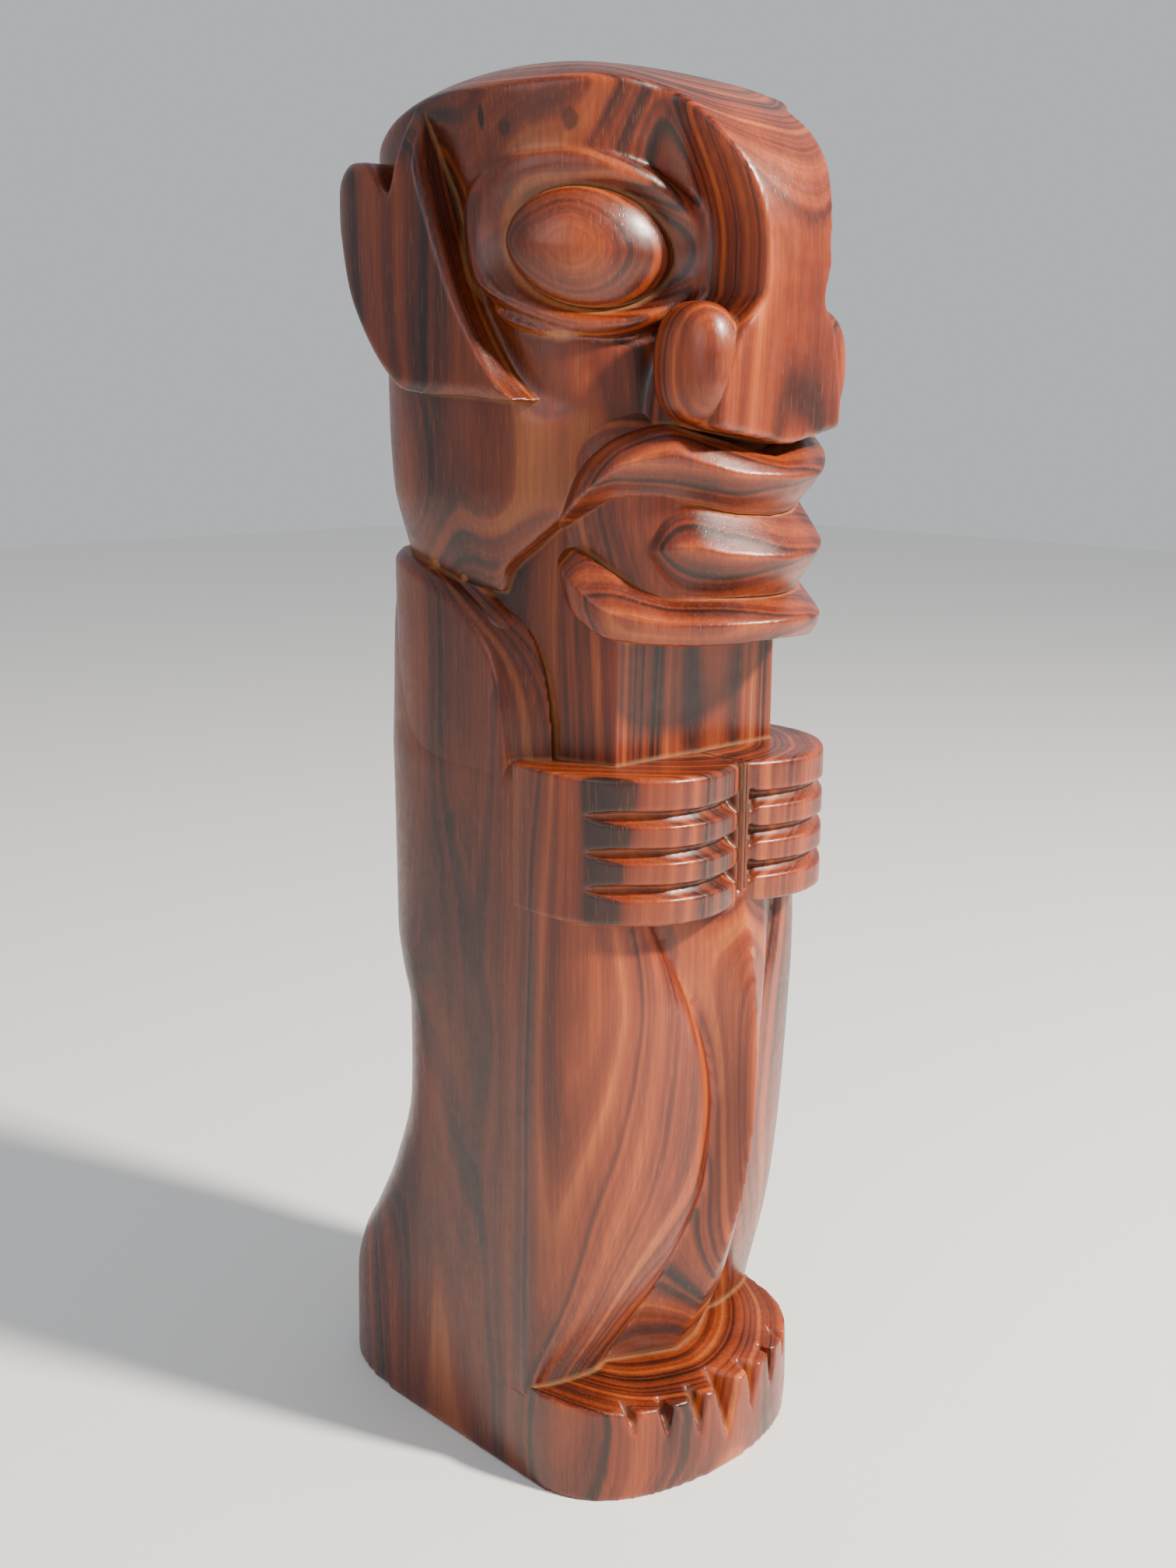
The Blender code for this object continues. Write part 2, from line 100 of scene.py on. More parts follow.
# Wrap a grid round a form: place turns (across, up) into points.
def skin(name, columns, rows, place):
    bpy.ops.object.select_all(action="DESELECT")
    bpy.ops.mesh.primitive_grid_add(
        x_subdivisions=columns, y_subdivisions=rows, size=1)
    thing = bpy.context.object
    thing.name = name
    flat = np.empty(len(thing.data.vertices) * 3)
    thing.data.vertices.foreach_get("co", flat)
    flat = flat.reshape(-1, 3)
    across = np.round((flat[:, 0] + 0.5) * columns) / columns
    up = np.round((flat[:, 1] + 0.5) * rows) / rows
    across = np.where(across > 1 - 1e-6, 0.0, across)
    points = np.stack(place(across, up), axis=1) * mm
    thing.data.vertices.foreach_set("co", points.astype(float).ravel())
    bpy.ops.object.mode_set(mode="EDIT")
    bpy.ops.mesh.select_all(action="SELECT")
    bpy.ops.mesh.remove_doubles(threshold=0.00002)
    bpy.ops.mesh.select_all(action="DESELECT")
    bpy.ops.mesh.select_mode(type="EDGE")
    bpy.ops.mesh.select_non_manifold()
    bpy.ops.mesh.fill_holes(sides=0)
    bpy.ops.mesh.select_all(action="SELECT")
    bpy.ops.mesh.normals_make_consistent(inside=False)
    bpy.ops.object.mode_set(mode="OBJECT")
    return thing


# Straight bar with an outline in two axes, run along the third.
def prism(name, outline, side, low, high):
    ring = np.array(outline, float)
    order = {"x": (1, 2, 0), "z": (0, 1, 2)}[side]

    def place(across, up):
        i = np.round(across * len(ring)).astype(int) % len(ring)
        out = [None, None, None]
        out[order[0]] = ring[i, 0]
        out[order[1]] = ring[i, 1]
        out[order[2]] = low + (high - low) * up
        return out
    return skin(name, len(ring), 1, place)


def mirrored(thing):
    pickOnly(thing)
    bpy.ops.object.duplicate()
    twin = bpy.context.object
    twin.data.transform(Matrix.Scale(-1, 4, (1, 0, 0)))
    twin.data.flip_normals()
    return twin


def joined(name, things):
    bpy.ops.object.select_all(action="DESELECT")
    for thing in things:
        thing.select_set(True)
    bpy.context.view_layer.objects.active = things[0]
    bpy.ops.object.join()
    things[0].name = name
    return things[0]


def finishWith(thing, kind, **settings):
    pickOnly(thing)
    change = thing.modifiers.new(kind.lower(), kind)
    for key, setting in settings.items():
        setattr(change, key, setting)
    bpy.ops.object.modifier_apply(modifier=change.name)


def carve(thing, tool, solver="MANIFOLD"):
    finishWith(thing, "BOOLEAN", operation="DIFFERENCE", solver=solver, object=tool)
    bpy.data.objects.remove(tool, do_unlink=True)


def superRing(across, half, front, back, middle, power, backPower):
    turn = across * 2 * np.pi
    c, s = np.cos(turn), np.sin(turn)
    bend = np.where(s > 0, backPower, power)
    x = half * np.sign(c) * np.abs(c) ** (2 / bend)
    deep = np.where(s > 0, back - middle, middle - front)
    return x, middle + deep * np.sign(s) * np.abs(s) ** (2 / bend)


# Log form through (z, half, front, back, middle, power, backPower).
def logSkin(name, sections, columns, rows):
    curves = [[(s[0], s[k]) for s in sections] for k in range(1, 7)]
    low, high = sections[0][0], sections[-1][0]

    def place(across, up):
        z = low + (high - low) * up
        x, y = superRing(across, *[read(c, z) for c in curves])
        return x, y, z
    return skin(name, columns, rows, place)


# Point of an upright ellipse at a polar angle from the front.
def rim(turn, half, deep):
    s, c = np.sin(np.radians(turn)), np.cos(np.radians(turn))
    r = 1 / np.sqrt((s / half) ** 2 + (c / deep) ** 2)
    return r * s, -r * c


# Body: the log, its thighs and the sharp keel between them.
body = {
    "sections": [
        (0, 97.5, -50, 190, 30, 8, 3.6), (60, 97, -50, 189, 30, 8, 3.6),
        (88, 96.5, -56, 180, 30, 8, 3.5), (112, 96, -62, 162, 30, 8, 3.4),
        (150, 96, -66, 139, 20, 7, 3.2), (205, 96, -70, 119, 14, 7, 3.0),
        (262, 97, -72, 116, 14, 7, 3.0), (286, 97.5, -74, 126, 14, 7, 3.0),
        (310, 98, -74, 132, 14, 7, 3.0), (360, 98, -74, 133, 14, 7, 3.0),
        (420, 98, -74, 135, 14, 7, 3.0), (432, 97, -44, 136, 14, 5, 3.0),
        (500, 94, -30, 136, 14, 4, 3.0), (518, 90, -10, 133, 24, 3.5, 2.8),
        (530, 82, 0, 122, 30, 3, 2.6),
    ],
    # z, front of the thigh, crease beside the keel, keel ridge
    "legs": [
        (50, -58, -46, -66), (64, -64, -44, -76), (90, -79, -38, -93),
        (121, -95, -28, -110), (152, -107, -19, -123), (185, -115, -11.5, -133),
        (226, -119, -11, -139), (257, -120, -15, -140.5), (290, -119, -26, -138),
        (318, -115, -39, -133), (338, -111, -47, -128), (360, -106, -54, -123),
    ],
    "legLow": 52, "legTop": 358,
    # z, roundness of the swelling; z, where it meets the flank
    "swells": [(50, 1.1), (110, 0.95), (250, 0.90), (358, 0.90)],
    "edges": [(50, -52), (77, -54), (164, -55), (258, -62), (358, -67)],
    # share of the ring that is the swelling, and the roll into the crease
    "outer": 0.8, "rollWide": 16, "rollDeep": 7.0,
    "flank": 98.0, "voxel": 2.4,
}


def thigh(spec):
    fronts = [(s[0], s[1]) for s in spec["legs"]]
    creases = [(s[0], s[2]) for s in spec["legs"]]

    flank, outer, wide = spec["flank"], spec["outer"], spec["rollWide"]

    def place(across, up):
        z = spec["legLow"] + (spec["legTop"] - spec["legLow"]) * up
        front, crease = read(fronts, z), read(creases, z)
        swell, edge = read(spec["swells"], z), read(spec["edges"], z)
        # most of the ring is the swelling, the rest closes it inside the log
        a = np.clip(across / outer, 0, 1) * np.pi / 2
        x = crease - (flank + crease) * np.sin(a) ** 0.92
        y = edge + (front - edge) * np.cos(a) ** swell
        # rolls over into the crease beside the keel
        near = np.clip((x - crease + wide) / wide, 0, 1)
        y = y + spec["rollDeep"] * near ** 2.4
        inside = np.clip((across - outer) / 0.2, 0, 1)
        x = np.where(across > outer, -flank + (flank + crease) * inside, x)
        y = np.where(across > outer, -8.0 - 40 * inside * (1 - inside), y)
        return x, y, z
    return skin("thigh", 120, 90, place)


def keel(spec):
    fronts = [(s[0], s[1]) for s in spec["legs"]]
    creases = [(s[0], s[2]) for s in spec["legs"]]
    ridges = [(s[0], s[3]) for s in spec["legs"]]

    def place(across, up):
        z = spec["legLow"] + (spec["legTop"] - spec["legLow"]) * up
        front, crease, ridge = read(fronts, z), read(creases, z), read(ridges, z)
        i = np.round(across * 8).astype(int) % 8
        wide = -crease
        slope = ridge - front
        back = -20 + 0 * z
        x = np.choose(i, [0 * z, wide * 0.5, wide, wide + 4, wide, -wide, -wide - 4, -wide])
        y = np.choose(i, [ridge, ridge - slope * 0.40, front + 6, front + 34,
                          back, back, front + 34, front + 6])
        return x, y, z
    return skin("keel", 8, 90, place)


foot = {
    "block": [
        (0, 97.5, -122, 20, -48, 2.7, 14), (20, 97.5, -124, 20, -48, 2.7, 14),
        (44, 97, -124, 20, -48, 2.7, 14), (74, 95.5, -120, 20, -48, 2.7, 14)],
    # the instep slopes down to the toes
    "slope": [
        (-200, 49), (-124, 54), (-96, 57), (-60, 61), (-30, 66), (0, 71), (40, 80),
        (40, 120), (-200, 120)],
    # x, half width at the top, apex y, z of the lower end
    "notches": [
        (0, 12.0, -95, 3), (22, 8.5, -101, 12), (42, 8.5, -95, 6), (61, 8.0, -82, 12)],
    "notchFoot": -132, "toeFront": -124, "beyond": -160, "notchTop": 66,
    "voxel": 1.6,
}


def toeCut(spec, x, half, apex, low, side):
    foot, front, beyond = spec["notchFoot"], spec["toeFront"], spec["beyond"]

    def place(across, up):
        i = np.round(across * 5).astype(int) % 5
        flat = 0 * up
        tipY = foot + (apex - foot) * np.clip(up * 1.08, 0, 1.08)
        wide = half * (0.15 + 1.05 * up)
        out = x * 1.14
        px = np.choose(i, [x + flat, out - wide, out - wide * 1.9, out + wide * 1.9, out + wide])
        py = np.choose(i, [tipY, front + flat, beyond + flat, beyond + flat, front + flat])
        return px * side, py, low + (spec["notchTop"] - low) * up
    return skin("toe", 5, 1, place)


def footPlatform(spec):
    block = logSkin("foot", spec["block"], 120, 16)
    carve(block, prism("slope", spec["slope"], "x", -150, 150))
    for x, half, apex, low in spec["notches"]:
        for side in ((1,) if x == 0 else (1, -1)):
            carve(block, toeCut(spec, x, half, apex, low, side))
    return block


arms = {
    # y and z of the outer edge, y and z of the inner edge
    "edge": [
        (-34, 420, -50, 420), (-32, 436, -49, 440), (-31, 455, -46, 462),
        (-28, 472, -40, 482), (-20, 489, -31, 497), (-3, 505.5, -16, 510),
        (12, 515, 2, 518.5), (30, 522, 24, 526), (55, 528.5, 50, 532),
        (80, 534, 74, 538), (104, 537, 94, 542)],
    # the shoulder's flank, its widest place and the back of the log
    "flank": 98, "widest": 14, "back": 131, "bend": 2.8, "rise": 0.4,
    "panelLow": 372, "low": 366, "voxel": 1.7,
}


def arm(spec):
    count = len(spec["edge"]) - 1
    keyed = [[(i, e[k]) for i, e in enumerate(spec["edge"])] for k in range(4)]
    bend = spec["bend"]

    def place(across, up):
        s = up * count
        outerY, outerZ, innerY, innerZ = [read(k, s) for k in keyed]
        away = np.clip((outerY - spec["widest"]) / (spec["back"] - spec["widest"]), 0, 1)
        flank = spec["flank"] * (1 - away ** bend) ** (1 / bend) + spec["rise"]
        inner = 76 - 14 * (np.clip(innerY, 0, 94) / 94) ** 2
        i = np.round(across * 6).astype(int) % 6
        x = np.choose(i, [-inner, -flank + 5, -flank, -flank + 0.9, -flank + 12, -inner])
        y = np.choose(i, [innerY, outerY * 0.99, outerY, outerY, outerY, innerY])
        low = spec["low"] + 0 * s
        z = np.choose(i, [innerZ, outerZ + 1, outerZ - 4, spec["panelLow"] + 0 * s, low, low])
        return x, y, z
    return skin("arm", 6, 80, place)


neck = {
    "outline": [(-63, -87), (63, -87), (72, -50), (80, -10), (86, 60), (60, 100),
                (-60, 100), (-86, 60), (-80, -10), (-72, -50)],
    "low": 405.0, "high": 560.0, "voxel": 1.9,
}


# Hands: one slab round the belly, cut into four fingers on each side.
hands = {
    "low": 349.0, "top": 430.0,
    "palm": [(-3, -122), (-12, -127), (-26, -133), (-42, -136), (-58, -133.5),
             (-74, -123), (-86, -110), (-94, -94), (-97.6, -78), (-98.2, -62),
             (-97.4, -40), (-60, -30), (-3, -40)],
    "grooves": [409.0, 389.0, 369.0],
    # along a groove, from the middle out to the wrist
    "deep": 7.2,
    "deeps": [(0, 1.35), (0.09, 1.0), (0.76, 0.95), (0.92, 0.6), (1, 0)],
    "talls": [(0, 1.5), (0.10, 1.0), (0.8, 0.95), (0.93, 0.6), (1, 0.05)],
    "voxel": 1.1,
}


def hand(spec):
    ring = np.array(spec["palm"], float)
    count = len(ring)
    ringX = [(i, ring[i % count][0]) for i in range(count + 1)]
    ringY = [(i, ring[i % count][1]) for i in range(count + 1)]
    height = spec["top"] - spec["low"]

    def place(across, up):
        s = across * count
        x, y = read(ringX, s), read(ringY, s)
        z = spec["low"] + height * up
        # the rim of the slab is eased over at the top and bottom
        end = np.minimum(up, 1 - up) * height
        ease = np.where(end < 3, 3 - np.sqrt(np.maximum(9 - (3 - end) ** 2, 0)), 0)
        y = y + ease * np.clip((-y - 30) / 40, 0, 1)
        return x, y, z
    slab = skin("hand", 168, 40, place)
    for level in spec["grooves"]:
        def cutPlace(across, up, level=level):
            # from the middle of the figure out to the wrist, square to the palm
            walk = 0.15 + 6.75 * up
            x, y = read(ringX, walk), read(ringY, walk)
            dx = read(ringX, walk + 0.1) - read(ringX, walk - 0.1)
            dy = read(ringY, walk + 0.1) - read(ringY, walk - 0.1)
            size = np.hypot(dx, dy)
            inX, inY = -dy / size, dx / size
            inY, inX = np.abs(inY), np.where(x < -45, np.abs(inX), -np.abs(inX))
            deep = spec["deep"] * read(spec["deeps"], up)
            tall = read(spec["talls"], up)
            flat = 0 * x
            i = np.round(across * 5).astype(int) % 5
            bite = np.choose(i, [deep, deep * 0.5, -9 + flat, -9 + flat, deep * 0.95])
            lift = np.choose(i, [0.4 + flat, -3.6 + flat, -10.5 + flat, 6.0 + flat, 2.2 + flat])
            return x + inX * bite, y + inY * bite, level + tall * lift
        carve(slab, skin("groove", 5, 60, cutPlace))
    return slab


strip = {
    "outline": [(-2.3, -60), (2.3, -60), (2.3, -120.5), (0.9, -123.5), (-0.9, -123.5),
                (-2.3, -120.5)],
    "low": 350.5, "high": 429.5, "voxel": 0.9,
}


# Head: a round block with the face hollowed back on both sides of a long
# nose ridge, under a pillow-topped dome. It is felt out from the pith axis.
head = {
    "halfs": [(520, 86), (545, 92), (575, 98), (610, 99), (720, 99), (745, 101),
              (765, 104), (782, 107), (800, 110)],
    "backs": [(520, 112), (545, 118), (575, 124), (610, 127), (690, 129), (745, 131),
              (770, 128), (800, 122)],
    # the face drops away in front of the ear
    "earEdge": [(621, -49), (628, -41), (636, -33), (647, -24), (662, -13), (680, -2),
                (702, 8), (726, 18), (748, 25), (790, 30)],
    "earDrop": [(612, 0), (635, 4.5), (660, 8), (722, 8.5), (745, 5.5), (766, 0)],
    "ridgeHalf": [(600, 47), (610, 47), (622, 46.5), (640, 43), (658, 36), (668, 28),
                  (677, 23), (700, 22.5), (714, 24), (730, 28), (747.5, 34), (763, 39),
                  (800, 44)],
    "ridgeFront": [(600, 150.5), (640, 152.5), (700, 155), (800, 155)],
    "fillet": [(600, 2), (664, 3), (690, 9), (800, 9)],
    "cheek": [(500, -8), (529.5, -16), (547, -38), (565, -59), (589, -74), (600, -84),
              (605, -110), (612, -200)],
    "domeFront": [(0, 800), (30, 796.5), (60, 790), (84, 781.5), (105, 771.5),
                  (122, 761), (138, 746), (148, 729), (153, 709), (156, 660)],
    "domeSide": [(0, 800), (35, 797.5), (64, 793), (85, 786.5), (103, 778),
                 (118, 768.5), (132, 757), (146, 744), (160, 726)],
    # how square the block is behind, and how far the ear's drop reaches before
    # and behind its edge
    "backPower": 3.4, "dropBefore": 15, "dropBehind": 8,
    # lowest and highest ring of the block, and how far out the search starts
    "low": 520, "high": 742, "farthest": 190.0,
    "voxel": 1.8,
}
# radius of the round face under the eyes
faceRound = 99.0

eyes = {
    "turn": 45.5, "height": 698.5, "half": 44.0, "tall": 29.5, "bulge": 17.0, "tilt": 0.09,
    "lidTurn": 50.0, "lidHeight": 700.0, "lidHalf": 76.0, "lidTall": 46.0, "lidRise": 10.5,
    "groove": [(-96, 682), (-82, 673.5), (-72, 667), (-62, 661.5), (-50, 656), (-38, 652.5),
               (-24, 656), (-14, 665), (-6, 676)],
    "grooveDeep": [(0, 0), (12, 0), (22, 1.5), (34, 3.5), (50, 6), (62, 8.5), (76, 8.5),
                   (84, 4), (90, 0)],
    "voxel": 1.3,
}


def domeTop(spec, x, y):
    forward = read(spec["domeFront"], np.maximum(-y, 0))
    sideways = read(spec["domeSide"], np.hypot(x, np.where(y < 0, 0.85 * y, y)))
    return softLow(forward, sideways, 5.0)


def softLow(a, b, k):
    h = np.clip(0.5 + 0.5 * (b - a) / k, 0, 1)
    return b + (a - b) * h - k * h * (1 - h)


def softHigh(a, b, k):
    return -softLow(-a, -b, k)


# Height of the lid band and depth of the crease under it.
def lidRelief(spec, turn, z):
    run = np.radians(turn - spec["turn"]) * faceRound
    tall = z - spec["height"] - spec["tilt"] * run
    inner = np.sqrt((run / spec["half"]) ** 2 + (tall / spec["tall"]) ** 2) + 1e-9
    runOut = np.radians(turn - spec["lidTurn"]) * faceRound
    tallOut = z - spec["lidHeight"] - 0.06 * runOut
    outer = np.sqrt((runOut / spec["lidHalf"]) ** 2 + (tallOut / spec["lidTall"]) ** 2)
    past = np.clip(inner - 1, 0, 9)
    share = past / (past + np.clip(1 - outer, 1e-6, 9))
    share = np.where(outer > 1, 1.0, share)
    angle = np.arctan2(tall, run)
    upper = np.clip(np.cos(angle - np.radians(55)), 0, 1)
    rise = spec["lidRise"] * (1 - 0.62 * upper ** 1.2)
    grow = np.clip(share / 0.62, 0, 1)
    fall = np.clip((share - 0.62) / 0.38, 0, 1)
    band = np.where(share < 0.62, grow ** 1.35, np.sqrt(np.clip(1 - fall ** 2.2, 0, 1)))
    lift = rise * band - 1.5 * (inner <= 1)
    line = read(spec["groove"], -turn)
    deep = read(spec["grooveDeep"], turn)
    below = z - line
    notch = np.where(below > 0, 1 - below / 9.0, 1 + below / 2.6)
    return lift - deep * np.clip(notch, 0, 1)


def headForm(spec, x, y, z):
    half, back = read(spec["halfs"], z), read(spec["backs"], z)
    deep = np.where(y > 0, back, half)
    power = np.where(y > 0, spec["backPower"], 2.0)
    ratio = (np.abs(x / half) ** power + np.abs(y / deep) ** power) ** (1 / power)
    turn = np.degrees(np.arctan2(np.abs(x), -y))
    block = (ratio - 1) * half - lidRelief(eyes, turn, z)
    block = np.maximum(block, (read(spec["cheek"], z) - y) * 0.8)
    ahead = read(spec["earEdge"], z) - y
    ahead = np.where(ahead > 0, ahead / spec["dropBefore"], ahead / spec["dropBehind"])
    block = block + read(spec["earDrop"], z) * np.exp(-ahead ** 2)
    # the ridge is a little thicker on the figure's left
    thicker = 6 * (x > 0) * np.clip((z - 672) / 20, 0, 1)
    side = np.abs(x) - read(spec["ridgeHalf"], z) - thicker
    front = -y - read(spec["ridgeFront"], z) + 0.0009 * x ** 2
    ridge = softHigh(side, front, 2.5)
    ridge = softHigh(ridge, 600 + 0.19 * np.abs(x) - z, 2.0)
    ridge = np.maximum(ridge, y + 20)
    form = softLow(block, ridge, read(spec["fillet"], z))
    return softHigh(form, (z - domeTop(spec, x, y)) * 0.9, 3.0)


def headBlock(spec):
    def place(across, up):
        along = np.where(across < 0.5, across * 2, (1 - across) * 2)
        turn = read([(0, 0), (0.13, 7), (0.40, 24), (0.80, 105), (1, 180)], along)
        turn = np.radians(np.where(across < 0.5, -turn, turn))
        tip = np.clip((up - 0.70) / 0.30, 0, 1)
        rise = tip ** 1.5 * np.pi / 2
        startZ = spec["low"] + (spec["high"] - spec["low"]) * np.clip(up / 0.70, 0, 1)
        dx = np.sin(turn) * np.cos(rise)
        dy = -np.cos(turn) * np.cos(rise)
        dz = np.sin(rise)
        far = np.full(len(up), spec["farthest"])
        near = far.copy()
        found = np.zeros(len(up), bool)
        for reach in np.arange(spec["farthest"], 4.0, -3.0):
            inside = headForm(spec, dx * reach, dy * reach, startZ + dz * reach) < 0
            near = np.where(found, near, reach)
            far = np.where(found, far, reach + 3.0)
            found = found | inside
        for _ in range(12):
            middle = (near + far) / 2
            inside = headForm(spec, dx * middle, dy * middle, startZ + dz * middle) < 0
            near = np.where(inside, middle, near)
            far = np.where(inside, far, middle)
        return dx * near, dy * near, startZ + dz * near
    rows = 230
    return skin("headBlock", 400, rows, place)


nose = {"centre": (-42.5, -124.0, 641.0), "size": (16.5, 26.0, 31.0), "voxel": 1.2}


def nostril(spec):
    bpy.ops.object.select_all(action="DESELECT")
    bpy.ops.mesh.primitive_uv_sphere_add(segments=64, ring_count=40, radius=1)
    thing = bpy.context.object
    flat = np.empty(len(thing.data.vertices) * 3)
    thing.data.vertices.foreach_get("co", flat)
    p = flat.reshape(-1, 3)
    # squarer than a ball, like a bean
    p = p / ((np.abs(p) ** 2.5).sum(1, keepdims=True) ** (1 / 2.5))
    cx, cy, cz = spec["centre"]
    a, b, c = spec["size"]
    out = np.stack([cx + a * p[:, 0], cy + b * p[:, 1], cz + c * p[:, 2]], 1) * mm
    thing.data.vertices.foreach_set("co", out.ravel())
    thing.data.update()
    return thing


ear = {
    "outline": [(-49, 621.5), (-41, 628), (-33, 636), (-24, 647), (-13, 662), (-2, 680),
                (8, 702), (18, 726), (25, 748), (28, 790), (36, 790), (40, 752), (44, 736),
                (49, 729), (55, 733), (62, 742), (72, 746.5), (84, 747), (95, 743),
                (102, 735), (103, 722), (97, 703), (88, 681), (76, 662), (62, 645),
                (50, 634), (40, 627.5), (20, 625), (-10, 624), (-34, 622)],
    "swell": [(-60, 104), (-49, 105.5), (-22, 108), (0, 111), (30, 115), (60, 118),
              (80, 118.5), (95, 116), (106, 108)],
    "middle": (34.0, 690.0),
    "voxel": 1.5,
}


def earFlap(spec):
    ring = np.array(spec["outline"], float)
    count = len(ring)
    ringY = [(i, ring[i % count][0]) for i in range(count + 1)]
    ringZ = [(i, ring[i % count][1]) for i in range(count + 1)]
    middleY, middleZ = spec["middle"]

    def place(across, up):
        s = across * count
        y, z = read(ringY, s), read(ringZ, s)
        wall = np.clip(up / 0.45, 0, 1)
        share = np.clip((up - 0.45) / 0.55, 0, 1)
        yy = y + (middleY - y) * share
        zz = z + (middleZ - z) * share
        edge = np.clip(1 - share / 0.10, 0, 1)
        out = read(spec["swell"], yy) - 3.0 * edge ** 1.5
        out = out - 13.0 * np.clip((zz - 735) / 38, 0, 1) ** 2
        inner = 82 - 24 * np.clip((y - 50) / 60, 0, 1)
        return -(inner + (out - inner) * wall), yy, zz
    flap = skin("ear", 174, 60, place)
    carve(flap, domeTool(head), solver="EXACT")
    return flap


# Everything above the dome, for trimming what reaches up to it.
def domeTool(spec):
    bpy.ops.object.select_all(action="DESELECT")
    bpy.ops.mesh.primitive_grid_add(x_subdivisions=90, y_subdivisions=90, size=0.36)
    tool = bpy.context.object
    flat = np.empty(len(tool.data.vertices) * 3)
    tool.data.vertices.foreach_get("co", flat)
    p = flat.reshape(-1, 3)
    p[:, 2] = domeTop(spec, p[:, 0] / mm, p[:, 1] / mm) * mm
    tool.data.vertices.foreach_set("co", p.ravel())
    bpy.ops.object.mode_set(mode="EDIT")
    bpy.ops.mesh.select_all(action="SELECT")
    bpy.ops.mesh.extrude_region_move(TRANSFORM_OT_translate={"value": (0, 0, 0.3)})
    bpy.ops.mesh.select_all(action="SELECT")
    bpy.ops.mesh.normals_make_consistent(inside=False)
    bpy.ops.object.mode_set(mode="OBJECT")
    return tool


def eyeball(spec):
    def place(across, up):
        a = across * 2 * np.pi
        rise = np.clip((up - 0.15) / 0.85, 0, 1) * np.pi / 2
        root = np.clip(up / 0.15, 0, 1)
        spread = np.cos(rise) * 1.01
        out = -14 + 14 * root + spec["bulge"] * np.sin(rise) ** 1.05
        run = spec["half"] * spread * np.cos(a)
        # almond, a little pointed at both ends, ridged along its length
        slim = 1 - 0.10 * np.abs(np.cos(a)) ** 3
        tall = spec["tall"] * spread * np.sin(a) * slim
        out = out - 2.2 * np.sin(rise) * np.abs(np.sin(a)) * spread
        z = spec["height"] + tall + spec["tilt"] * run
        turn = np.radians(spec["turn"]) + run / faceRound
        away = faceRound + out
        return -away * np.sin(turn), -away * np.cos(turn), z
    return skin("eyeball", 128, 50, place)


# Mouth: a muzzle with three stacked lips, ridge and crease in turn.
mouth = {
    "muzzle": [
        (497, 60, -132, -20, -60, 2.5, 2.5), (515, 64, -134, -14, -56, 2.5, 2.5),
        (545, 70, -133, -8, -52, 2.4, 2.4), (575, 75, -131, -6, -48, 2.3, 2.3),
        (592, 77, -127, -6, -46, 2.2, 2.2), (606, 74, -115, -6, -46, 2.1, 2.1),
        (620, 66, -99, -6, -46, 2.0, 2.0), (632, 54, -86, -6, -46, 2.0, 2.0)],
    # degrees from the middle line, z
    "upperTop": [(0, 596), (7, 599.5), (14, 605), (24, 610.5), (34, 606), (42, 598),
                 (50, 584), (58, 566)],
    "upperRidge": [(0, 585), (11, 586), (19, 591), (25, 595), (35, 591), (44, 578),
                   (50, 567), (58, 553)],
    "creaseOne": [(0, 564), (9, 565.5), (18, 570), (28, 574), (36, 573), (44, 566),
                  (52, 556), (58, 549)],
    "middleRidge": [(0, 543), (13, 545), (22, 549), (31, 546), (38, 547)],
    "creaseTwo": [(0, 521.5), (23, 522), (30, 526), (40, 537), (48, 545), (58, 549)],
    "lowerRidge": [(0, 510), (22, 509), (38, 514), (48, 527), (58, 541)],
    "lowerLow": [(0, 500.5), (22, 498), (38, 500.5), (48, 512), (58, 530)],
    # share: 1 upper edge, 0 ridge, -1 lower edge; depth from the pith axis
    "upper": [(1.0, 108), (1.02, 130), (0.88, 141), (0.45, 150), (0.04, 155.5), (-0.06, 155),
              (-0.5, 147), (-0.85, 139.5), (-1.0, 137.5), (-1.0, 108)],
    "middle": [(1.0, 108), (1.0, 137), (0.85, 139.5), (0.4, 148), (0.04, 154.5), (-0.06, 154),
               (-0.45, 147), (-0.85, 139), (-1.0, 137), (-1.0, 108)],
    "lower": [(1.0, 108), (1.0, 137), (0.85, 140), (0.4, 149), (0.05, 155), (-0.5, 153.5),
              (-1.0, 150), (-1.0, 108)],
    "closing": [(0, 1.0), (30, 1.0), (44, 0.97), (52, 0.90), (60, 0.80)],
    # depth of the lips' roots, and the muzzle's half width as a share of its depth
    "root": 112, "slim": 0.645, "extra": 3.0,
    # edges and ridge of each lip, its profile, how far round it runs, its bulb
    "lips": [
        ("upperLip", "upper_lip", "upperTop", "upperRidge", "creaseOne", "upper", 57, 12),
        ("mouthBand", "mouth_band", "creaseOne", "middleRidge", "creaseTwo", "middle", 30, 12),
        ("lowerLip", "lower_lip", "creaseTwo", "lowerRidge", "lowerLow", "lower", 57, 8)],
    "voxel": 1.3,
}


